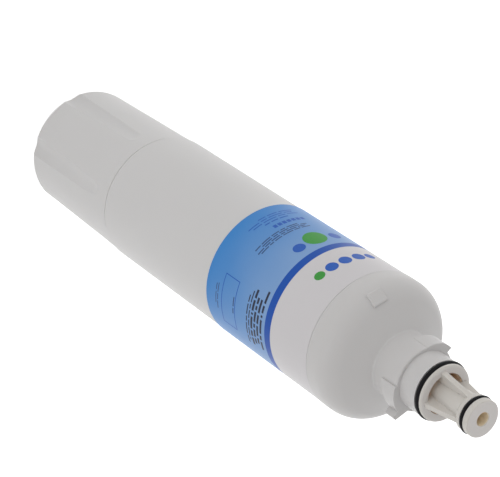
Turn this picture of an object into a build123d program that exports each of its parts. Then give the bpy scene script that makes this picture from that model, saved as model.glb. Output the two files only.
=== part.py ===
"""Under-sink water filter cartridge.

A sealed plastic cartridge that stands on its closed end. A fluted grip and a plain body form
one moulded sump, closed by a welded head. An inlet spigot with the bayonet lugs stands on the
head. A finned outlet stem sits in its barrel, with the inlet ports round it, and ends in the
nose. A wrapped carbon block sits inside between two end caps.

Lengths are millimetres. The axis is Z, with zero at the closed end and the nose at the top.
Bearings turn about Z from the -Y side towards +X.
"""
import os
from math import atan2, cos, degrees, pi, radians, sin, sqrt, tan

from build123d import *

# Sump
BODY_R = 38.0
SUMP_LEN = 281.5
WALL = 3.0
GRIP_LEN = 88.2
SEAM_STEP = 0.5
GRIP_TAPER = 1.4
SEAM_CHAMFER = 0.5
SEAM_GROOVE_W = 0.7
SEAM_GROOVE_DEPTH = 0.5
END_ROUND = 5.0
FLOOR = 3.5
GATE_DISH_R = 24.0
GATE_DISH_DEPTH = 1.5

# Finger flutes in the grip, deepest at the closed end and with a round end below the seam
FLUTE_COUNT = 6
FLUTE_BEARING = 26.0
FLUTE_DEPTH = 2.7
FLUTE_END_DEPTH = 1.1
FLUTE_LEN = 77.0
FLUTE_TOOL_R = 9.0
FLUTE_WALL = 2.0

# Label film
LABEL_LEN = 88.6
LABEL_FILM = 0.2
LABEL_GLUE = 0.12
LABEL_INSET = 0.4

# Head: welded skirt and dome
HEAD_OVERHANG = 0.5
DOME_CORNER = 15.0
SHOULDER_ROUND = 14.0
DOME_RISE = 26.0
DOME_WALL = 3.2
DOME_BLEND = 1.2
TONGUE_LEN = 6.0
TONGUE_WALL = 2.4
TONGUE_CLEAR = 0.1

# Inlet spigot: tongue that centres it in the head, collar, barrel and gland
SPIGOT_SEAT = 2.0
SPIGOT_TONGUE_LEN = 4.0
SPIGOT_TONGUE_WALL = 1.8
COLLAR_R = 17.5
COLLAR_LEN = 18.5
COLLAR_ROUND = 0.8
BARREL_R = 15.5
BARREL_LEN = 15.8
BARREL_WALL = 2.1
LIP_INSET = 0.3
LIP_T = 1.5
LIP_ROUND = 0.8

# Outlet stem: ports round it, fins that stand on the barrel's end, and the nose
PORT_GAP = 4.0
FIN_COUNT = 4
FIN_BEARING = -38.0
FIN_T = 2.8
FIN_FOOT = 2.0
FIN_TOP_INSET = 0.3
WEB_DEPTH = 9.0
WEB_BITE = 0.8
WEB_CLEAR = 0.1
STEM_FLARE = 1.2
NOSE_LEN = 27.5
NOSE_R = 9.8
NOSE_LIP_T = 3.4
NOSE_ROUND = 0.8
NOSE_FLANGE_T = 2.2
NOSE_FLANGE_INSET = 0.2
OUTLET_R = 3.6
OUTLET_CHAMFER = 0.4

# Bayonet lugs on the spigot, and locating key on the head
RAMP_START = 37.0
RAMP_END = 85.0
RAMP_STEP = 0.8
RAMP_REACH = 2.8
RAMP_H = 10.9
RAMP_LEAD = 5.0
STOP_LAP = 3.0
STOP_TOP_SPAN = 6.0
STOP_BACK_SPAN = 13.0
STOP_REACH = 6.7
STOP_H = 6.5
SIDE_RAMP_START = -50.0
SIDE_RAMP_END = -99.0
SIDE_RAMP_STEP = 0.1
SIDE_RAMP_LEAD = 2.0
LUG_BITE = 1.0
KEY_BEARING = -34.0
KEY_TILT = 39.0
KEY_W = 8.5
KEY_LEN = 7.5
KEY_RISE = 1.0
KEY_ROUND = 0.9

# Seals: section diameter, and how far each stands out of its gland
SPIGOT_SEAL = 2.8
SPIGOT_PROUD = 0.4
NOSE_SEAL = 2.4
NOSE_PROUD = 0.4
STEM_SEAL = 1.9
GLAND_PLAY = 0.4
SEAL_CLEAR = 0.03

# Filter element
FLOW_GAP = 1.0
FOOT_COUNT = 4
FOOT_H = 4.0
FOOT_W = 6.0
FOOT_INSET = 3.0
CAP_DISC = 3.0
CAP_SKIRT = 1.8
CAP_SKIRT_LEN = 8.0
CAP_HEADROOM = 1.4
CAP_BOSS_LEN = 5.0
CAP_STEM_WALL = 3.6
SOCKET_WALL = 2.2
SOCKET_LEN = 14.0
SOCKET_ROOF = 3.0
STEM_END_GAP = 1.0
SOCKET_CLEAR = 0.2
WRAP_T = 1.0
CORE_R = 9.0
WRAP_CLEAR = 0.1

# Radii that follow from the sizes above
bore_r = BODY_R - WALL
grip_top_r = BODY_R - SEAM_STEP
grip_low_r = grip_top_r - GRIP_TAPER
grip_bore_r = grip_low_r - FLUTE_DEPTH - FLUTE_WALL
head_r = BODY_R + HEAD_OVERHANG
tongue_r = bore_r - TONGUE_CLEAR
tongue_bore_r = tongue_r - TONGUE_WALL
neck_r = COLLAR_R - SPIGOT_SEAT
spigot_tongue_r = neck_r - TONGUE_CLEAR
spigot_bore_r = spigot_tongue_r - SPIGOT_TONGUE_WALL
lip_r = BARREL_R - LIP_INSET
spigot_gland_r = BARREL_R + SPIGOT_PROUD - SPIGOT_SEAL - SEAL_CLEAR
port_r = spigot_gland_r - BARREL_WALL
stem_r = port_r - PORT_GAP
stem_tip_r = stem_r + STEM_FLARE
nose_flange_r = NOSE_R - NOSE_FLANGE_INSET
nose_gland_r = NOSE_R + NOSE_PROUD - NOSE_SEAL - SEAL_CLEAR
cap_stem_r = OUTLET_R + CAP_STEM_WALL
socket_r = cap_stem_r + SOCKET_CLEAR
socket_out_r = socket_r + SOCKET_WALL
cap_r = min(tongue_bore_r, grip_bore_r) - FLOW_GAP
wrap_r = cap_r - CAP_SKIRT - WRAP_CLEAR
block_r = wrap_r - WRAP_T - WRAP_CLEAR

# Heights that follow from the sizes above
floor_top = GATE_DISH_DEPTH + FLOOR
shoulder = SUMP_LEN
dome_top = shoulder + DOME_RISE
spigot_low = dome_top + DOME_BLEND
collar_top = dome_top + COLLAR_LEN
face = collar_top + BARREL_LEN
spigot_gland_top = face - LIP_T
spigot_gland_low = spigot_gland_top - SPIGOT_SEAL - GLAND_PLAY
nose_end = face + NOSE_LEN
nose_gland_top = nose_end - NOSE_LIP_T
nose_gland_low = nose_gland_top - NOSE_SEAL - GLAND_PLAY
nose_flange_low = nose_gland_low - NOSE_FLANGE_T
stem_top = nose_flange_low - (nose_flange_r - stem_tip_r)
dome_angle = atan2(DOME_RISE - DOME_CORNER, head_r - COLLAR_R)
dome_drop = DOME_WALL / cos(dome_angle)


def dome_inside(radius):
    """Height of the dome's inner face at a radius."""
    return shoulder + DOME_CORNER + (head_r - radius) * tan(dome_angle) - dome_drop


cap_top = dome_inside(cap_r) - CAP_HEADROOM
block_top = cap_top - CAP_DISC
block_low = floor_top + FOOT_H + CAP_DISC
socket_top = cap_top + SOCKET_LEN
socket_roof = socket_top - SOCKET_ROOF
cap_stem_top = socket_roof - STEM_END_GAP
stem_seal_z = (cap_top + cap_stem_top) / 2
label_top = SUMP_LEN - LABEL_INSET


def turned(corners, rounds=()):
    """Solid turned about Z from (radius, height) corners, with some corners rounded."""
    outline = make_face(Polyline(*corners, close=True))
    for corner, radius in rounds:
        vertex = outline.vertices().sort_by_distance((*corner, 0))[0]
        outline = fillet(vertex, radius)
    return revolve(Plane.XZ * outline, Axis.Z)


def tube(outer_r, inner_r, low, high):
    """Plain tube between two radii and two heights."""
    return turned([(inner_r, low), (outer_r, low), (outer_r, high), (inner_r, high)])


def facing(bearing):
    """Turn about Z that carries +X round to a bearing."""
    return Rot(0, 0, bearing - 90)


def sector(inner_r, outer_r, low, high, start, span):
    """Part of a tube from one bearing through a span of degrees."""
    outline = make_face(Polyline(
        (inner_r, low), (outer_r, low), (outer_r, high), (inner_r, high), close=True))
    return facing(start) * revolve(Plane.XZ * outline, Axis.Z, span)


def radial_plate(corners, thickness):
    """Flat plate standing in the XZ plane, from (radius, height) corners."""
    outline = make_face(Polyline(*corners, close=True))
    return extrude(Plane.XZ * outline, thickness / 2, both=True)


def o_ring(inner_r, section, height):
    """Rubber ring whose inside stands clear of the bottom of its gland."""
    middle_r = inner_r + SEAL_CLEAR + section / 2
    return Pos(0, 0, height) * Torus(middle_r, section / 2)


def make_sump():
    """Moulded vessel with its fluted grip and closed end in one piece."""
    end_corner = (grip_low_r, 0)
    groove_low = GRIP_LEN - SEAM_GROOVE_W
    groove_r = grip_top_r - SEAM_GROOVE_DEPTH
    outside = turned([
        (0, GATE_DISH_DEPTH), (GATE_DISH_R, GATE_DISH_DEPTH), (GATE_DISH_R, 0), end_corner,
        (grip_top_r, groove_low), (groove_r, groove_low), (groove_r, GRIP_LEN), (grip_top_r, GRIP_LEN),
        (BODY_R, GRIP_LEN + SEAM_CHAMFER), (BODY_R, SUMP_LEN), (0, SUMP_LEN),
    ], [(end_corner, END_ROUND)])
    inside = turned([
        (0, floor_top), (grip_bore_r, floor_top), (grip_bore_r, GRIP_LEN),
        (bore_r, GRIP_LEN + bore_r - grip_bore_r), (bore_r, SUMP_LEN), (0, SUMP_LEN),
    ])
    sump = outside - inside
    tool_reach = sqrt(FLUTE_TOOL_R ** 2 - (FLUTE_TOOL_R - FLUTE_END_DEPTH) ** 2)
    tool_end = FLUTE_LEN - tool_reach
    surface_r = grip_low_r + (grip_top_r - grip_low_r) * tool_end / GRIP_LEN
    foot = Vector(grip_low_r - FLUTE_DEPTH + FLUTE_TOOL_R, 0, 0)
    head = Vector(surface_r - FLUTE_END_DEPTH + FLUTE_TOOL_R, 0, tool_end)
    tool_path = Plane(origin=head, z_dir=head - foot)
    tool = tool_path * Cylinder(FLUTE_TOOL_R, 2 * FLUTE_LEN, align=(Align.CENTER, Align.CENTER, Align.MAX))
    tool += tool_path * Sphere(FLUTE_TOOL_R)
    for number in range(FLUTE_COUNT):
        sump -= facing(FLUTE_BEARING + number * 360 / FLUTE_COUNT) * tool
    return sump


def make_ramp(start, end, step, lead):
    """Low bayonet ramp that grows from a small step to its full reach between two bearings.

    Its front is flush with the collar, and its rear face slants forwards by the lead.
    """
    low, span = min(start, end), abs(end - start)
    ramp_low = collar_top - RAMP_H
    ramp_r = COLLAR_R + RAMP_REACH
    step_r = COLLAR_R + step
    ramp = sector(COLLAR_R - LUG_BITE, ramp_r, ramp_low, collar_top, low, span)
    shift = (ramp_r ** 2 - step_r ** 2) / (2 * (ramp_r - step_r * cos(radians(span))))
    cam = Pos(shift, 0, collar_top) * Cylinder(ramp_r - shift, 2 * RAMP_H)
    run = ramp_r * radians(span)
    slant = degrees(atan2(lead if end > start else -lead, run))
    below = Box(2 * ramp_r, 2 * run, RAMP_H, align=(Align.MIN, Align.CENTER, Align.MAX))
    below = facing(low + span / 2) * Pos(0, 0, ramp_low + lead / 2) * Rot(slant, 0, 0) * below
    return (ramp & facing(end) * cam) - below


def make_stop():
    """Tall block that ends the long ramp, with a back that slopes down to the collar."""
    start = RAMP_END - STOP_LAP
    top_end = start + STOP_TOP_SPAN
    foot_r = COLLAR_R - LUG_BITE
    stop_r = COLLAR_R + STOP_REACH
    corners = [(foot_r, start), (stop_r, start), (stop_r, top_end), (foot_r, top_end + STOP_BACK_SPAN)]
    outline = make_face(Polyline(
        *[(r * sin(radians(turn)), -r * cos(radians(turn))) for r, turn in corners], close=True))
    return extrude(Plane.XY.offset(collar_top - STOP_H) * outline, STOP_H)


def make_key():
    """Locating key that stands on the rounded shoulder of the dome."""
    turn = pi / 2 - dome_angle
    round_z = shoulder + DOME_CORNER - SHOULDER_ROUND * tan(turn / 2)
    tilt = radians(KEY_TILT)
    top = SHOULDER_ROUND + KEY_RISE
    seat = Plane(
        origin=(head_r - SHOULDER_ROUND + top * cos(tilt), 0, round_z + top * sin(tilt)),
        x_dir=(0, 1, 0), z_dir=(cos(tilt), 0, sin(tilt)))
    depth = 2 * KEY_RISE + DOME_WALL / 2
    key = Box(KEY_W, KEY_LEN, depth, align=(Align.CENTER, Align.CENTER, Align.MAX))
    key = fillet(key.edges().group_by(Axis.Z)[-1], KEY_ROUND)
    return facing(KEY_BEARING) * (seat * key)


def make_head():
    """Welded head: dome with its key, and a round seat for the inlet spigot."""
    tongue_low = shoulder - TONGUE_LEN
    shoulder_corner = (head_r, shoulder + DOME_CORNER)
    neck_corner = (COLLAR_R, dome_top)
    shell = turned([
        (0, tongue_low), (tongue_r, tongue_low), (tongue_r, shoulder), (head_r, shoulder),
        shoulder_corner, neck_corner, (COLLAR_R, spigot_low), (0, spigot_low),
    ], [(shoulder_corner, SHOULDER_ROUND), (neck_corner, DOME_BLEND)])
    shell += make_key()
    return shell - turned([
        (0, tongue_low), (tongue_bore_r, tongue_low), (tongue_bore_r, dome_inside(tongue_bore_r)),
        (neck_r, dome_inside(neck_r)), (neck_r, spigot_low), (0, spigot_low),
    ])


def make_inlet_spigot():
    """Inlet spigot: tongue in the head, collar with lugs, and barrel with its gland and lip."""
    tongue_low = spigot_low - SPIGOT_TONGUE_LEN
    port_low = collar_top - DOME_WALL
    collar_corner = (COLLAR_R, collar_top)
    lip_corner = (lip_r, face)
    spigot = turned([
        (spigot_bore_r, tongue_low), (spigot_tongue_r, tongue_low), (spigot_tongue_r, spigot_low),
        (COLLAR_R, spigot_low), collar_corner, (BARREL_R, collar_top), (BARREL_R, spigot_gland_low),
        (spigot_gland_r, spigot_gland_low), (spigot_gland_r, spigot_gland_top),
        (lip_r, spigot_gland_top), lip_corner, (port_r, face), (port_r, port_low),
        (spigot_bore_r, port_low),
    ], [(collar_corner, COLLAR_ROUND), (lip_corner, LIP_ROUND)])
    spigot += make_ramp(RAMP_START, RAMP_END, RAMP_STEP, RAMP_LEAD)
    spigot += make_stop()
    return spigot + make_ramp(SIDE_RAMP_START, SIDE_RAMP_END, SIDE_RAMP_STEP, SIDE_RAMP_LEAD)


def make_outlet_stem():
    """Outlet stem: socket for the end cap, webs in the barrel, fins on its end face, and nose."""
    nose_corner = (NOSE_R, nose_end)
    stem = turned([
        (OUTLET_R, socket_roof), (socket_r, socket_roof), (socket_r, cap_top),
        (socket_out_r, cap_top), (socket_out_r, socket_top), (stem_r, socket_top), (stem_r, face),
        (stem_tip_r, stem_top), (nose_flange_r, nose_flange_low), (nose_flange_r, nose_gland_low),
        (nose_gland_r, nose_gland_low), (nose_gland_r, nose_gland_top), (NOSE_R, nose_gland_top),
        nose_corner, (OUTLET_R + OUTLET_CHAMFER, nose_end), (OUTLET_R, nose_end - OUTLET_CHAMFER),
    ], [(nose_corner, NOSE_ROUND)])

    root_r = stem_r - WEB_BITE
    web_r = port_r - WEB_CLEAR
    fin_top = nose_flange_low + NOSE_FLANGE_T / 2
    fin = radial_plate([
        (root_r, face - WEB_DEPTH), (web_r, face - WEB_DEPTH), (web_r, face), (port_r + FIN_FOOT, face),
        (nose_flange_r - FIN_TOP_INSET, fin_top), (root_r, fin_top),
    ], FIN_T)
    for number in range(FIN_COUNT):
        stem += facing(FIN_BEARING + number * 360 / FIN_COUNT) * fin
    return stem


def make_label():
    """Printed film stuck round the upper body."""
    inner_r = BODY_R + LABEL_GLUE
    return tube(inner_r + LABEL_FILM, inner_r, label_top - LABEL_LEN, label_top)


def make_carbon_block():
    """Pressed carbon tube that water crosses from outside to its core."""
    return tube(block_r, CORE_R, block_low, block_top)


def make_prefilter_wrap():
    """Nonwoven sheet wrapped round the carbon block."""
    return tube(wrap_r, wrap_r - WRAP_T, block_low, block_top)


def make_upper_end_cap():
    """Cap with a short tube that plugs into the outlet stem's socket."""
    skirt_low = block_top - CAP_SKIRT_LEN
    boss_r = CORE_R - WRAP_CLEAR
    boss_low = block_top - CAP_BOSS_LEN
    gland_half = (STEM_SEAL + GLAND_PLAY) / 2
    gland_r = socket_r - STEM_SEAL - 2 * SEAL_CLEAR
    return turned([
        (OUTLET_R, boss_low), (boss_r, boss_low), (boss_r, block_top), (cap_r - CAP_SKIRT, block_top),
        (cap_r - CAP_SKIRT, skirt_low), (cap_r, skirt_low), (cap_r, cap_top), (cap_stem_r, cap_top),
        (cap_stem_r, stem_seal_z - gland_half), (gland_r, stem_seal_z - gland_half),
        (gland_r, stem_seal_z + gland_half), (cap_stem_r, stem_seal_z + gland_half),
        (cap_stem_r, cap_stem_top), (OUTLET_R, cap_stem_top),
    ])


def make_lower_end_cap():
    """Blind cap that closes the core and stands on feet on the sump floor."""
    disc_low = block_low - CAP_DISC
    boss_r = CORE_R - WRAP_CLEAR
    cap = turned([
        (0, disc_low), (cap_r, disc_low), (cap_r, block_low + CAP_SKIRT_LEN),
        (cap_r - CAP_SKIRT, block_low + CAP_SKIRT_LEN), (cap_r - CAP_SKIRT, block_low),
        (boss_r, block_low), (boss_r, block_low + CAP_BOSS_LEN), (0, block_low + CAP_BOSS_LEN),
    ])
    foot = Pos(cap_r - FOOT_INSET, 0, floor_top) * Box(
        FOOT_W, FOOT_W, FOOT_H, align=(Align.MAX, Align.CENTER, Align.MIN))
    for number in range(FOOT_COUNT):
        cap += Rot(0, 0, number * 360 / FOOT_COUNT) * foot
    return cap


def make_stem_o_ring():
    """Seal between the end cap's tube and the outlet stem's socket."""
    return o_ring(socket_r - STEM_SEAL - 2 * SEAL_CLEAR, STEM_SEAL, stem_seal_z)


def make_spigot_o_ring():
    """Large seal behind the lip of the inlet barrel."""
    return o_ring(spigot_gland_r, SPIGOT_SEAL, (spigot_gland_low + spigot_gland_top) / 2)


def make_nose_o_ring():
    """Small seal behind the lip of the outlet nose."""
    return o_ring(nose_gland_r, NOSE_SEAL, (nose_gland_low + nose_gland_top) / 2)


PIECES = {
    "sump": make_sump,
    "head": make_head,
    "inlet_spigot": make_inlet_spigot,
    "outlet_stem": make_outlet_stem,
    "label_wrap": make_label,
    "spigot_o_ring": make_spigot_o_ring,
    "nose_o_ring": make_nose_o_ring,
    "carbon_block": make_carbon_block,
    "prefilter_wrap": make_prefilter_wrap,
    "upper_end_cap": make_upper_end_cap,
    "lower_end_cap": make_lower_end_cap,
    "stem_o_ring": make_stem_o_ring,
}

os.makedirs("parts", exist_ok=True)
for name, make in PIECES.items():
    export_step(make(), f"parts/{name}.step")
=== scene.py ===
import math

import bmesh
import bpy
from bpy.props import FloatProperty, FloatVectorProperty, PointerProperty
from bpy.types import Operator, Panel, PropertyGroup
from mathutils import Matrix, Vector


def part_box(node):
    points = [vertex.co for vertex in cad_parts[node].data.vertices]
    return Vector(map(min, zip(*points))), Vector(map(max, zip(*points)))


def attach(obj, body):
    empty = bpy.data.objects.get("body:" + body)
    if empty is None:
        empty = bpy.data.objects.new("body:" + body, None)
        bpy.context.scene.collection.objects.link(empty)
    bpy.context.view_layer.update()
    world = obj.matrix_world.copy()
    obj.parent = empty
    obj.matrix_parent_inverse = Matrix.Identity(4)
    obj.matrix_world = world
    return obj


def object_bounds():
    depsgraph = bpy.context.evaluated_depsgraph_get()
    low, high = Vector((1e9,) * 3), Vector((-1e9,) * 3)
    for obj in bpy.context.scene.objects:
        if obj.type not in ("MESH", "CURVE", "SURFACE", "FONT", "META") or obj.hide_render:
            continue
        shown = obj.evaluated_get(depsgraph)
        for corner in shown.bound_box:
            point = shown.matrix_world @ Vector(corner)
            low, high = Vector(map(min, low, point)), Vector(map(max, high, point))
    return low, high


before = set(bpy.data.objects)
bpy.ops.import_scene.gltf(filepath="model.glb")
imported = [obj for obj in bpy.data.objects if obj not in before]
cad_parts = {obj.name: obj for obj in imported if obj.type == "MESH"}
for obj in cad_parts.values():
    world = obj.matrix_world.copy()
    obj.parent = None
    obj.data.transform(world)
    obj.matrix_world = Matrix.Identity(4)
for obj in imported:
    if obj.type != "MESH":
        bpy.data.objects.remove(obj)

bl_info = {
    "name": "Water Filter Cartridge",
    "version": (1, 0, 0),
    "blender": (4, 5, 0),
    "location": "View3D > Sidebar > Cartridge",
    "description": "Finishes, label print and stage for an under-sink water filter cartridge",
    "category": "Object",
}

MM = 0.001
BODY = "root"
CAD_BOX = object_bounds()

# Levels and radii of the frame that the finishes and the print follow
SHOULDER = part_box("sump")[1].z
LABEL_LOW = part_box("label_wrap")[0].z
LABEL_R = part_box("label_wrap")[1].x
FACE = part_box("inlet_spigot")[1].z
NOSE_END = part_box("outlet_stem")[1].z

# Groove of the seam between the grip and the body, where painted light lifts its shade, in millimetres:
# its middle below the shoulder, its width, and the radius that it lies within
SEAM_BELOW = 193.65
SEAM_W = 0.7
SEAM_R = 37.4

# Where the colour changes at the head end: the warm stem, and the painted glow of light on the walls of the
# ports and in the outlet
STEM_LOW = FACE - 2.5 * MM
PORT_WALL = (10.4 * MM, 11.3 * MM)
PORT_TOP = FACE - 0.6 * MM
PORT_DEEP = FACE - 3.5 * MM
OUTLET_WALL = 3.8 * MM
OUTLET_TOP = NOSE_END - 0.4 * MM
EDGE = 0.2 * MM

# How squarely a surface has to face along the axis to count as a flat end with painted light, and how softly
# that begins
FLAT_END = 0.9
FLAT_SPREAD = 0.15

# Rows of plain dashes: millimetres below the shoulder, height, first and last bearing, and the
# share of the row that each dash takes
DARK_ROWS = (
    (39.6, 1.5, 11.5, 62.0, (5, 3, 1, 6, 2, 4)),
    (42.4, 1.5, 20.0, 58.0, (6, 4, 5, 3)),
    (45.0, 1.5, 20.0, 60.0, (3, 2, 5, 2, 4, 3)),
    (47.6, 1.6, 15.0, 63.0, (4, 5, 1, 6, 3, 4)),
    (50.0, 0.8, 17.5, 60.0, (7, 3, 5, 4, 6, 2)),
    (52.0, 0.8, 22.0, 64.0, (4, 6, 3, 7, 5)),
)
SMALL_ROWS = (
    (59.8, 0.8, -57.0, -9.0, (6, 4, 7, 5, 3, 6)),
    (61.4, 0.8, -54.0, -7.0, (5, 7, 3, 6, 4, 5)),
    (63.0, 0.8, -57.0, -14.0, (4, 6, 6, 3, 7)),
    (64.6, 0.8, -50.0, -8.0, (7, 3, 5, 6, 4)),
    (64.2, 0.8, 32.0, 46.0, (5, 3)),
    (78.4, 0.6, 29.0, 51.0, (6, 4, 5)),
    (80.0, 0.6, 30.0, 47.0, (4, 7)),
)
BLUE_ROWS = (
    (69.6, 2.8, -62.0, -33.0, (3, 3, 3, 3, 3, 3, 3)),
    (74.6, 0.9, -52.0, -30.0, (5, 4, 3)),
    (77.0, 0.7, -64.0, -21.0, (6, 4, 7, 5)),
    (79.0, 0.7, -60.0, -18.0, (4, 7, 3, 6)),
    (81.0, 0.7, -62.0, -30.0, (7, 5, 4)),
)

# Ruled box: its lower and upper side in millimetres below the shoulder, its bearings and its line
BOX_LOW, BOX_HIGH = 74.8, 62.8
BOX_START, BOX_END = 18.7, 60.8
BOX_LINE = 0.5

# Plain dots: millimetres below the shoulder, bearing and width
GREEN_DOTS = ((46.5, -47.0, 13.0), (18.6, -20.0, 6.0))
BLUE_DOTS = (
    (44.5, -30.0, 7.0), (45.5, -65.0, 7.0),
    (18.6, -32.0, 7.0), (18.6, -44.5, 7.0), (18.6, -57.0, 7.0), (18.6, -68.0, 6.0),
)

# Grey-blue of the printing screen that shows faintly on the film, and carbon grains in a metre
SCREEN_TINT = (0.5, 0.55, 0.6)
CARBON_GRAINS = 1800.0

# Soft lights beside the camera, and the camera's sensor in millimetres
LIGHT_PLACES = {"left": (-1.0, -1.0, 0.2), "right": (0.9, -0.9, 0.15)}
LIGHT_WIDTH = 1.2
SENSOR_WIDTH = 36


def level(below):
    """Height in metres of a line given in millimetres below the shoulder."""
    return SHOULDER - below * MM


class PlasticSettings(PropertyGroup):
    """Moulded white plastic of the sump, the head, the spigot and the stem."""

    colour: FloatVectorProperty(
        name="Colour", description="Base colour of the white plastic",
        subtype="COLOR", size=3, min=0, max=1, default=(0.62, 0.61, 0.605))
    # Painted shade: the plastic above the shoulder is made greyer to stand in for the lesser light on the
    # head
    head_painted_shade: FloatVectorProperty(
        name="Head colour", description="Base colour of the plastic above the shoulder, a little greyer",
        subtype="COLOR", size=3, min=0, max=1, default=(0.575, 0.562, 0.556))
    stem_colour: FloatVectorProperty(
        name="Stem colour", description="Warmer white of the barrel's lip, the stem and the nose",
        subtype="COLOR", size=3, min=0, max=1, default=(0.6, 0.572, 0.532))
    # Painted light: the flat ends are made paler to stand in for light that falls on them
    end_painted_light: FloatVectorProperty(
        name="End colour", description="Paler white of the flat ends of the barrel and the nose",
        subtype="COLOR", size=3, min=0, max=1, default=(0.68, 0.65, 0.628))
    # Painted light: the groove is made paler to lift the shade that falls in it
    seam_painted_light: FloatVectorProperty(
        name="Seam colour", description="Paler colour in the groove between the grip and the body",
        subtype="COLOR", size=3, min=0, max=1, default=(0.8, 0.79, 0.785))
    # Painted light: a bright warm colour stands in for light that comes through the thin plastic into the
    # ports and lifts their shade
    port_painted_glow: FloatVectorProperty(
        name="Port colour", description="Warm colour of the walls inside the inlet ports",
        subtype="COLOR", size=3, min=0, max=1, default=(0.99, 0.77, 0.58))
    # Painted light: a pale warm colour stands in for light that comes through the plastic into the outlet
    outlet_painted_glow: FloatVectorProperty(
        name="Outlet colour", description="Pale warm colour of the wall inside the outlet",
        subtype="COLOR", size=3, min=0, max=1, default=(0.88, 0.76, 0.57))
    roughness: FloatProperty(
        name="Roughness", description="Middle roughness of the moulded skin",
        subtype="FACTOR", min=0, max=1, default=0.42)
    grain: FloatProperty(
        name="Grain", description="Size of the fine grain of the moulded skin",
        subtype="DISTANCE", unit="LENGTH", min=0.0001, default=0.0007)


class LabelSettings(PropertyGroup):
    """Printed film round the upper body."""

    deep_blue: FloatVectorProperty(
        name="Deep blue", description="Blue at the lower edge of the colour field",
        subtype="COLOR", size=3, min=0, max=1, default=(0.04, 0.23, 0.59))
    pale_blue: FloatVectorProperty(
        name="Pale blue", description="Blue in the middle of the colour field",
        subtype="COLOR", size=3, min=0, max=1, default=(0.21, 0.36, 0.63))
    stripe: FloatVectorProperty(
        name="Stripe", description="Dark stripe between the field and the white band",
        subtype="COLOR", size=3, min=0, max=1, default=(0.004, 0.075, 0.4))
    band: FloatVectorProperty(
        name="Band", description="White band next to the head",
        subtype="COLOR", size=3, min=0, max=1, default=(0.64, 0.62, 0.63))
    dark_ink: FloatVectorProperty(
        name="Dark ink", description="Ink of the heavy rows",
        subtype="COLOR", size=3, min=0, max=1, default=(0.02, 0.025, 0.05))
    small_ink: FloatVectorProperty(
        name="Small ink", description="Ink of the fine rows",
        subtype="COLOR", size=3, min=0, max=1, default=(0.04, 0.08, 0.2))
    blue_ink: FloatVectorProperty(
        name="Blue ink", description="Ink of the ruled box, the blue rows and the blue dots",
        subtype="COLOR", size=3, min=0, max=1, default=(0.025, 0.11, 0.46))
    green_ink: FloatVectorProperty(
        name="Green ink", description="Ink of the green dots",
        subtype="COLOR", size=3, min=0, max=1, default=(0.05, 0.3, 0.05))
    shine: FloatProperty(
        name="Shine", description="Strength of the film's reflections",
        subtype="FACTOR", min=0, max=1, default=0.14)
    ink_film: FloatProperty(
        name="Ink film", description="Thickness of the printed shapes",
        subtype="DISTANCE", unit="LENGTH", min=0.000005, default=0.00002)
    stripe_low: FloatProperty(
        name="Stripe start", description="Distance of the stripe's lower edge below the shoulder",
        subtype="DISTANCE", unit="LENGTH", min=0, default=0.0362)
    stripe_high: FloatProperty(
        name="Stripe end", description="Distance of the stripe's upper edge below the shoulder",
        subtype="DISTANCE", unit="LENGTH", min=0, default=0.0312)


class SealSettings(PropertyGroup):
    """Rubber rings."""

    colour: FloatVectorProperty(
        name="Colour", description="Base colour of the rubber",
        subtype="COLOR", size=3, min=0, max=1, default=(0.005, 0.005, 0.006))
    roughness: FloatProperty(
        name="Roughness", description="Middle roughness of the greased rubber",
        subtype="FACTOR", min=0, max=1, default=0.45)
    shine: FloatProperty(
        name="Shine", description="Strength of the rubber's reflections",
        subtype="FACTOR", min=0, max=1, default=0.1)


class ElementSettings(PropertyGroup):
    """Filter element inside the sump."""

    carbon: FloatVectorProperty(
        name="Carbon", description="Colour of the pressed carbon block",
        subtype="COLOR", size=3, min=0, max=1, default=(0.02, 0.02, 0.021))
    wrap: FloatVectorProperty(
        name="Wrap", description="Colour of the nonwoven wrap",
        subtype="COLOR", size=3, min=0, max=1, default=(0.72, 0.71, 0.68))
    cap: FloatVectorProperty(
        name="Cap", description="Colour of the end caps",
        subtype="COLOR", size=3, min=0, max=1, default=(0.6, 0.53, 0.42))


class StageSettings(PropertyGroup):
    """Camera, light and floor."""

    lens: FloatProperty(
        name="Lens", description="Focal length of the photo's camera on a 36 mm wide sensor",
        subtype="DISTANCE_CAMERA", unit="CAMERA", min=1, default=142.29)
    camera_place: FloatVectorProperty(
        name="Camera place", description="Place of the camera from the middle of the shoulder",
        subtype="TRANSLATION", unit="LENGTH", size=3, default=(0.0, -0.732969, 0.668376))
    camera_turn: FloatVectorProperty(
        name="Camera turn", description="Turn of the camera, with the photo's roll",
        subtype="EULER", unit="ROTATION", size=3,
        default=(math.radians(-27.552), math.radians(-34.612), math.radians(133.322)))
    horizon: FloatProperty(
        name="Horizon", description="Strength of the studio light that comes from the sides",
        subtype="FACTOR", min=0, soft_max=2, default=1.2)
    overhead: FloatProperty(
        name="Overhead", description="Strength of the studio light that comes from above",
        subtype="FACTOR", min=0, soft_max=2, default=0.42)
    side_light: FloatProperty(
        name="Side light", description="Power of each large side light",
        subtype="POWER", unit="POWER", min=0, default=1.0)
    floor_tone: FloatProperty(
        name="Floor tone", description="How pale the floor is",
        subtype="FACTOR", min=0, max=1, default=0.9)
    floor_glow: FloatProperty(
        name="Floor glow", description="How much the floor is lifted to white where it is seen",
        subtype="FACTOR", min=0, soft_max=1, default=0.7)
    floor_size: FloatProperty(
        name="Floor", description="Width of the floor",
        subtype="DISTANCE", unit="LENGTH", min=1, default=12.0)


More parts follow.
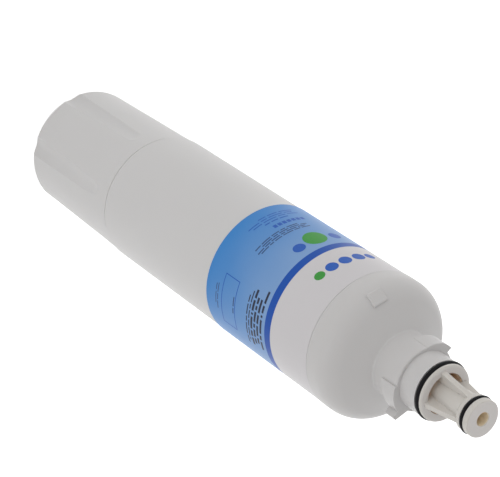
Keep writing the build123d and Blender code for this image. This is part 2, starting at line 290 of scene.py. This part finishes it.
class Finish:
    """A material and short ways to add and join its nodes."""

    def __init__(self, name):
        self.material = bpy.data.materials.new(name)
        self.material.use_nodes = True
        self.tree = self.material.node_tree
        self.shader = self.tree.nodes["Principled BSDF"]
        self.place = self.add("ShaderNodeTexCoord").outputs["Object"]

    def add(self, kind, settings=None, **inputs):
        """New node with its settings, and values or links on its inputs."""
        node = self.tree.nodes.new(kind)
        for key, value in (settings or {}).items():
            setattr(node, key, value)
        for key, value in inputs.items():
            self.give(node, key, value)
        return node

    def give(self, node, key, value):
        """Sets one input, by name or by number, to a value or to another node's output."""
        socket = node.inputs[int(key[1:]) if key[0] == "_" else key.replace("_", " ")]
        if isinstance(value, bpy.types.NodeSocket):
            self.tree.links.new(value, socket)
        else:
            socket.default_value = value

    def calculate(self, operation, *values):
        """Result of a calculation with numbers or outputs."""
        inputs = {f"_{number}": value for number, value in enumerate(values)}
        return self.add("ShaderNodeMath", {"operation": operation}, **inputs).outputs[0]

    def noise(self, size, detail=3.0, stretch=None):
        """Noise whose features are about a size in metres, stretched along the axes if asked."""
        place = self.place
        if stretch:
            place = self.add("ShaderNodeMapping", Vector=place, Scale=stretch).outputs[0]
        return self.add("ShaderNodeTexNoise", Vector=place, Scale=1 / size, Detail=detail).outputs["Fac"]

    def spread(self, value, low, high):
        """Carries a value from 0..1 to another span."""
        return self.add("ShaderNodeMapRange", Value=value, To_Min=low, To_Max=high).outputs[0]

    def blend(self, share, first, second):
        """Colour between two colours."""
        node = self.add("ShaderNodeMix", {"data_type": "RGBA"}, _0=share, _6=first, _7=second)
        return node.outputs[2]

    def step(self, value, edge, width):
        """Soft step from 0 below an edge to 1 above it."""
        node = self.add(
            "ShaderNodeMapRange", {"interpolation_type": "SMOOTHSTEP"},
            Value=value, From_Min=edge - width / 2, From_Max=edge + width / 2)
        return node.outputs[0]

    def below(self, value, edge, width):
        """Soft step from 1 below an edge to 0 above it."""
        return self.calculate("SUBTRACT", 1.0, self.step(value, edge, width))

    def both(self, first, second):
        """Share where two shares meet."""
        return self.calculate("MULTIPLY", first, second)

    def between(self, value, low, high, width):
        """Soft band that is 1 between two edges and 0 outside them."""
        return self.both(self.step(value, low, width), self.below(value, high, width))

    def axis(self):
        """Radius and height of the shaded point."""
        parts = self.add("ShaderNodeSeparateXYZ", Vector=self.place).outputs
        flat = self.add("ShaderNodeCombineXYZ", X=parts["X"], Y=parts["Y"]).outputs[0]
        radius = self.add("ShaderNodeVectorMath", {"operation": "LENGTH"}, _0=flat).outputs["Value"]
        return radius, parts["Z"]

    def facing(self):
        """How far the surface faces along the axis, from -1 at the closed end to 1 at the nose."""
        normal = self.add("ShaderNodeTexCoord").outputs["Normal"]
        return self.add("ShaderNodeSeparateXYZ", Vector=normal).outputs["Z"]

    def surface(self, colour, roughness, height=None, depth=0.0):
        """Feeds the shader with a colour, a roughness and a bump of some depth in metres."""
        self.give(self.shader, "Base_Color", colour)
        self.give(self.shader, "Roughness", roughness)
        if height is not None:
            bump = self.add("ShaderNodeBump", Height=height, Distance=depth, Strength=1.0)
            self.give(self.shader, "Normal", bump.outputs[0])
        return self.material


def rgba(colour, share=1.0):
    """Colour of a setting as the four numbers that a node takes, darkened by a share."""
    return (*[channel * share for channel in colour], 1.0)


def white_plastic(settings):
    """Satin moulded plastic with faint flow mottle; painted shade on the head, painted light on the flat
    ends and in the seam's groove, and a painted warm glow of light inside the ports and the outlet.
    """
    finish = Finish("white_plastic")
    mottle = finish.noise(30 * MM, 2.0, (1.0, 1.0, 0.35))
    grain = finish.noise(settings.grain, 4.0)
    radius, height = finish.axis()
    above = finish.step(height, SHOULDER, EDGE)
    # Painted shade: the plastic above the shoulder takes a darker copy of its colour
    colour = finish.blend(above, rgba(settings.colour), rgba(settings.head_painted_shade))
    stem = finish.step(height, STEM_LOW, 2 * MM)
    colour = finish.blend(stem, colour, rgba(settings.stem_colour))
    # Painted light on the flat ends of the lip and the nose, which face along the axis
    ends = finish.both(stem, finish.step(finish.facing(), FLAT_END, FLAT_SPREAD))
    colour = finish.blend(ends, colour, rgba(settings.end_painted_light))
    colour = finish.blend(finish.spread(mottle, 0.0, 0.06), colour, rgba(settings.head_painted_shade, 0.6))
    # Painted light in the seam's groove, paler to lift its shade
    groove = finish.between(
        height, level(SEAM_BELOW + SEAM_W / 2), level(SEAM_BELOW - SEAM_W / 2), EDGE)
    groove = finish.both(groove, finish.below(radius, SEAM_R * MM, EDGE))
    colour = finish.blend(groove, colour, rgba(settings.seam_painted_light))
    # Painted glow of light on the walls inside the ports, above the shoulder
    port_wall = finish.both(
        finish.between(radius, *PORT_WALL, EDGE), finish.below(height, PORT_TOP, 0.6 * MM))
    deep = finish.both(
        finish.below(radius, PORT_WALL[0], EDGE), finish.below(height, PORT_DEEP, 6 * MM))
    ports = finish.both(above, finish.calculate("MAXIMUM", port_wall, deep))
    colour = finish.blend(ports, colour, rgba(settings.port_painted_glow))
    # Painted glow of light on the wall inside the outlet
    outlet = finish.both(
        finish.below(radius, OUTLET_WALL, 0.3 * MM), finish.below(height, OUTLET_TOP, 0.3 * MM))
    colour = finish.blend(finish.both(above, outlet), colour, rgba(settings.outlet_painted_glow))
    roughness = finish.spread(grain, settings.roughness - 0.06, settings.roughness + 0.06)
    finish.give(finish.shader, "Subsurface_Weight", 0.12)
    finish.give(finish.shader, "Subsurface_Radius", (4 * MM, 3.5 * MM, 3 * MM))
    finish.give(finish.shader, "Subsurface_Scale", 1.0)
    return finish.surface(colour, roughness, grain, 0.012 * MM)


def printed_film(settings):
    """Label film: a blue field that pales upwards, a dark stripe and a white band."""
    finish = Finish("label_film")
    height = finish.axis()[1]
    cloud = finish.noise(35 * MM, 1.0)
    screen = finish.noise(0.4 * MM, 2.0)
    rise = finish.add(
        "ShaderNodeMapRange", Value=height, From_Min=LABEL_LOW,
        From_Max=SHOULDER - settings.stripe_low).outputs[0]
    rise = finish.calculate("ADD", rise, finish.spread(cloud, -0.22, 0.22))
    field = finish.blend(rise, rgba(settings.deep_blue), rgba(settings.pale_blue))
    stripe = finish.step(height, SHOULDER - settings.stripe_low, 0.25 * MM)
    band = finish.step(height, SHOULDER - settings.stripe_high, 0.25 * MM)
    colour = finish.blend(stripe, field, rgba(settings.stripe))
    colour = finish.blend(band, colour, rgba(settings.band))
    colour = finish.blend(finish.spread(screen, 0.0, 0.025), colour, rgba(SCREEN_TINT))
    roughness = finish.spread(screen, 0.3, 0.4)
    finish.give(finish.shader, "Specular_IOR_Level", settings.shine)
    return finish.surface(colour, roughness, screen, 0.004 * MM)


def printed_ink(name, colour, shine):
    """Ink of the ruled lines and plain shapes, a little uneven."""
    finish = Finish(name)
    wear = finish.noise(0.9 * MM, 3.0)
    shade = finish.blend(wear, rgba(colour, 0.85), rgba(colour, 1.15))
    finish.give(finish.shader, "Specular_IOR_Level", shine)
    return finish.surface(shade, finish.spread(wear, 0.32, 0.44))


def greased_rubber(settings):
    """Black moulded rubber with a thin uneven film of grease."""
    finish = Finish("black_rubber")
    grease = finish.noise(4 * MM, 3.0)
    grain = finish.noise(0.3 * MM, 3.0)
    colour = finish.blend(grain, rgba(settings.colour, 0.7), rgba(settings.colour, 1.6))
    roughness = finish.spread(grease, settings.roughness - 0.12, settings.roughness + 0.12)
    finish.give(finish.shader, "Specular_IOR_Level", settings.shine)
    return finish.surface(colour, roughness, grain, 0.015 * MM)


def pressed_carbon(settings):
    """Pressed carbon with open grains."""
    finish = Finish("carbon")
    grains = finish.add("ShaderNodeTexVoronoi", Vector=finish.place, Scale=CARBON_GRAINS).outputs["Distance"]
    colour = finish.blend(grains, rgba(settings.carbon, 0.5), rgba(settings.carbon, 2.2))
    return finish.surface(colour, finish.spread(grains, 0.7, 0.95), grains, 0.2 * MM)


def nonwoven_sheet(settings):
    """Nonwoven sheet with fibres that run mostly round the block."""
    finish = Finish("nonwoven")
    fibres = finish.noise(1.2 * MM, 6.0, (1.0, 1.0, 4.0))
    colour = finish.blend(fibres, rgba(settings.wrap, 0.8), rgba(settings.wrap, 1.1))
    finish.give(finish.shader, "Sheen_Weight", 0.3)
    return finish.surface(colour, finish.spread(fibres, 0.8, 0.98), fibres, 0.15 * MM)


def cap_plastic(settings):
    """Satin moulded plastic of the end caps."""
    finish = Finish("cap_plastic")
    flow = finish.noise(12 * MM, 3.0)
    colour = finish.blend(flow, rgba(settings.cap, 0.94), rgba(settings.cap, 1.06))
    return finish.surface(colour, finish.spread(flow, 0.4, 0.52), flow, 0.02 * MM)


def dress(material, *nodes):
    """Gives a material to nodes of the frame."""
    for name in nodes:
        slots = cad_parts[name].data.materials
        slots.clear()
        slots.append(material)


def add_print(mesh, film, below, tall, start, end, oval=False):
    """Thin printed shape wrapped on the label, a plain dash or an oval."""
    across = max(2, round((end - start) / 2))
    grid = bmesh.ops.create_grid(mesh, x_segments=across, y_segments=8 if oval else 1, size=1.0)
    for vert in grid["verts"]:
        u, v = vert.co.x, vert.co.y
        if oval:
            u, v = u * math.sqrt(1 - v * v / 2), v * math.sqrt(1 - u * u / 2)
        turn = math.radians((start + end + u * (end - start)) / 2)
        height = level(below) + v * tall * MM / 2
        vert.co = (LABEL_R * math.sin(turn), -LABEL_R * math.cos(turn), height)
    faces = list({face for vert in grid["verts"] for face in vert.link_faces})
    raised = bmesh.ops.extrude_face_region(mesh, geom=faces, use_keep_orig=True)["geom"]
    share = 1 + film / LABEL_R
    for vert in raised:
        if isinstance(vert, bmesh.types.BMVert):
            vert.co = (vert.co.x * share, vert.co.y * share, vert.co.z)


def add_row(mesh, film, below, tall, start, end, dashes):
    """Row of dashes whose lengths share the span between two bearings."""
    unit = (end - start) / (sum(dashes) + len(dashes) - 1)
    for length in dashes:
        add_print(mesh, film, below, tall, start, start + length * unit)
        start += (length + 1) * unit


def add_dot(mesh, film, below, bearing, width):
    """Round printed dot."""
    half = math.degrees(width * MM / 2 / LABEL_R)
    add_print(mesh, film, below, width, bearing - half, bearing + half, True)


def finish_piece(name, mesh, material):
    """Turns a bmesh into a piece of the scene that rides on the cartridge."""
    bmesh.ops.recalc_face_normals(mesh, faces=mesh.faces)
    data = bpy.data.meshes.new(name)
    mesh.to_mesh(data)
    mesh.free()
    piece = bpy.data.objects.new(name, data)
    bpy.context.scene.collection.objects.link(piece)
    data.materials.append(material)
    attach(piece, BODY)
    return piece


class CARTRIDGE_OT_plastic(Operator):
    """Gives the sump, the head, the spigot and the stem their moulded white plastic"""

    bl_idname = "cartridge.plastic"
    bl_label = "White plastic"

    def execute(self, context):
        material = white_plastic(context.scene.cartridge_plastic)
        dress(material, "sump", "head", "inlet_spigot", "outlet_stem")
        return {"FINISHED"}


class CARTRIDGE_OT_label(Operator):
    """Prints the label film and its plain ruled shapes"""

    bl_idname = "cartridge.label"
    bl_label = "Label"

    def execute(self, context):
        settings = context.scene.cartridge_label
        dress(printed_film(settings), "label_wrap")
        film = settings.ink_film
        inks = {}
        for name in ("dark_ink", "small_ink", "blue_ink", "green_ink"):
            inks[name] = printed_ink(name, getattr(settings, name), settings.shine)
        self.print_shapes("label_dark_rows", add_row, DARK_ROWS, film, inks["dark_ink"])
        self.print_shapes("label_small_rows", add_row, SMALL_ROWS, film, inks["small_ink"])
        self.print_shapes("label_blue_rows", add_row, BLUE_ROWS, film, inks["blue_ink"])
        self.print_shapes("label_green_dots", add_dot, GREEN_DOTS, film, inks["green_ink"])
        self.print_shapes("label_blue_dots", add_dot, BLUE_DOTS, film, inks["blue_ink"])
        self.print_box(film, inks["blue_ink"])
        return {"FINISHED"}

    def print_shapes(self, name, add_shape, shapes, film, material):
        """Rows of plain dashes, or plain dots, in one ink."""
        mesh = bmesh.new()
        for shape in shapes:
            add_shape(mesh, film, *shape)
        finish_piece(name, mesh, material)

    def print_box(self, film, material):
        """Ruled box with four thin sides."""
        half = math.degrees(BOX_LINE * MM / 2 / LABEL_R)
        middle = (BOX_LOW + BOX_HIGH) / 2
        mesh = bmesh.new()
        for below in (BOX_LOW, BOX_HIGH):
            add_print(mesh, film, below, BOX_LINE, BOX_START - half, BOX_END + half)
        for bearing in (BOX_START, BOX_END):
            add_print(mesh, film, middle, BOX_LOW - BOX_HIGH - BOX_LINE, bearing - half, bearing + half)
        finish_piece("label_write_in_box", mesh, material)


class CARTRIDGE_OT_seals(Operator):
    """Gives the rings their greased rubber"""

    bl_idname = "cartridge.seals"
    bl_label = "Seals"

    def execute(self, context):
        material = greased_rubber(context.scene.cartridge_seals)
        dress(material, "spigot_o_ring", "nose_o_ring", "stem_o_ring")
        return {"FINISHED"}


class CARTRIDGE_OT_element(Operator):
    """Finishes the filter element inside the sump"""

    bl_idname = "cartridge.element"
    bl_label = "Filter element"

    def execute(self, context):
        settings = context.scene.cartridge_element
        dress(pressed_carbon(settings), "carbon_block")
        dress(nonwoven_sheet(settings), "prefilter_wrap")
        dress(cap_plastic(settings), "upper_end_cap", "lower_end_cap")
        return {"FINISHED"}


class CARTRIDGE_OT_stage(Operator):
    """Sets the floor, the soft studio light and the photo's camera"""

    bl_idname = "cartridge.stage"
    bl_label = "Stage"

    def execute(self, context):
        settings = context.scene.cartridge_stage
        context.scene.view_settings.view_transform = "Standard"
        self.set_floor(settings)
        self.set_surround(context.scene, settings)
        self.set_lights(settings)
        self.set_camera(context.scene, settings)
        return {"FINISHED"}

    def seen(self, tree):
        """Output that is 1 for what the camera, a reflection or a glass sees."""
        path = tree.nodes.new("ShaderNodeLightPath").outputs
        result = path["Is Camera Ray"]
        for other in ("Is Glossy Ray", "Is Transmission Ray"):
            node = tree.nodes.new("ShaderNodeMath")
            node.operation = "MAXIMUM"
            tree.links.new(result, node.inputs[0])
            tree.links.new(path[other], node.inputs[1])
            result = node.outputs[0]
        return result

    def set_floor(self, settings):
        """Pale floor that looks white and keeps a soft shadow."""
        mesh = bmesh.new()
        bmesh.ops.create_grid(mesh, x_segments=1, y_segments=1, size=settings.floor_size / 2)
        data = bpy.data.meshes.new("floor")
        mesh.to_mesh(data)
        mesh.free()
        floor = bpy.data.objects.new("floor", data)
        bpy.context.scene.collection.objects.link(floor)
        material = bpy.data.materials.new("pale_floor")
        material.use_nodes = True
        tree = material.node_tree
        shader = tree.nodes["Principled BSDF"]
        shader.inputs["Base Color"].default_value = rgba((settings.floor_tone,) * 3)
        shader.inputs["Roughness"].default_value = 0.9
        shader.inputs["Emission Color"].default_value = (1, 1, 1, 1)
        glow = tree.nodes.new("ShaderNodeMath")
        glow.operation = "MULTIPLY"
        glow.inputs[1].default_value = settings.floor_glow
        tree.links.new(self.seen(tree), glow.inputs[0])
        tree.links.new(glow.outputs[0], shader.inputs["Emission Strength"])
        data.materials.append(material)

    def set_surround(self, scene, settings):
        """Soft light that is stronger from the sides than from above, and white where it is seen."""
        world = bpy.data.worlds.new("studio")
        scene.world = world
        world.use_nodes = True
        tree = world.node_tree
        background = tree.nodes["Background"]
        background.inputs["Color"].default_value = (1, 1, 1, 1)
        place = tree.nodes.new("ShaderNodeTexCoord")
        parts = tree.nodes.new("ShaderNodeSeparateXYZ")
        tree.links.new(place.outputs["Generated"], parts.inputs[0])
        fall = tree.nodes.new("ShaderNodeMapRange")
        tree.links.new(parts.outputs["Z"], fall.inputs["Value"])
        fall.inputs["To Min"].default_value = settings.horizon
        fall.inputs["To Max"].default_value = settings.overhead
        strength = tree.nodes.new("ShaderNodeMix")
        tree.links.new(self.seen(tree), strength.inputs[0])
        tree.links.new(fall.outputs[0], strength.inputs[2])
        strength.inputs[3].default_value = 1.0
        tree.links.new(strength.outputs[0], background.inputs["Strength"])

    def set_lights(self, settings):
        """Two large soft lights, one on each side of the camera."""
        middle = Vector((0, 0, (CAD_BOX[0][2] + CAD_BOX[1][2]) / 2))
        for side, place in LIGHT_PLACES.items():
            lamp = bpy.data.lights.new(f"{side}_light", "AREA")
            lamp.energy = settings.side_light
            lamp.size = LIGHT_WIDTH
            light = bpy.data.objects.new(f"{side}_light", lamp)
            bpy.context.scene.collection.objects.link(light)
            light.location = place
            light.rotation_euler = (middle - Vector(place)).to_track_quat("-Z", "Y").to_euler()

    def set_camera(self, scene, settings):
        """Camera at the photo's place and roll."""
        data = bpy.data.cameras.new("photo_camera")
        data.sensor_fit = "HORIZONTAL"
        data.sensor_width = SENSOR_WIDTH
        data.lens = settings.lens
        camera = bpy.data.objects.new("photo_camera", data)
        scene.collection.objects.link(camera)
        camera.location = Vector(settings.camera_place) + Vector((0, 0, SHOULDER))
        camera.rotation_euler = settings.camera_turn
        scene.camera = camera


class CARTRIDGE_PT_sidebar(Panel):
    """Lists the steps that dress the cartridge"""

    bl_idname = "CARTRIDGE_PT_sidebar"
    bl_label = "Water filter cartridge"
    bl_space_type = "VIEW_3D"
    bl_region_type = "UI"
    bl_category = "Cartridge"

    def draw(self, context):
        for operator, group in STEPS:
            self.layout.operator(operator)
            settings = getattr(context.scene, group)
            column = self.layout.column(align=True)
            for name in settings.__annotations__:
                column.prop(settings, name)


STEPS = (
    ("cartridge.plastic", "cartridge_plastic"),
    ("cartridge.label", "cartridge_label"),
    ("cartridge.seals", "cartridge_seals"),
    ("cartridge.element", "cartridge_element"),
    ("cartridge.stage", "cartridge_stage"),
)
GROUPS = {
    "cartridge_plastic": PlasticSettings,
    "cartridge_label": LabelSettings,
    "cartridge_seals": SealSettings,
    "cartridge_element": ElementSettings,
    "cartridge_stage": StageSettings,
}
CLASSES = (
    *GROUPS.values(), CARTRIDGE_OT_plastic, CARTRIDGE_OT_label, CARTRIDGE_OT_seals,
    CARTRIDGE_OT_element, CARTRIDGE_OT_stage, CARTRIDGE_PT_sidebar,
)


def register():
    """Adds the classes and their settings to Blender."""
    for item in CLASSES:
        bpy.utils.register_class(item)
    for name, group in GROUPS.items():
        setattr(bpy.types.Scene, name, PointerProperty(type=group))


def unregister():
    """Takes the classes and their settings out of Blender."""
    for name in GROUPS:
        delattr(bpy.types.Scene, name)
    for item in reversed(CLASSES):
        bpy.utils.unregister_class(item)


def main():
    """Dresses the cartridge."""
    register()
    bpy.ops.cartridge.plastic()
    bpy.ops.cartridge.label()
    bpy.ops.cartridge.seals()
    bpy.ops.cartridge.element()
    bpy.ops.cartridge.stage()


if __name__ == "__main__":
    main()
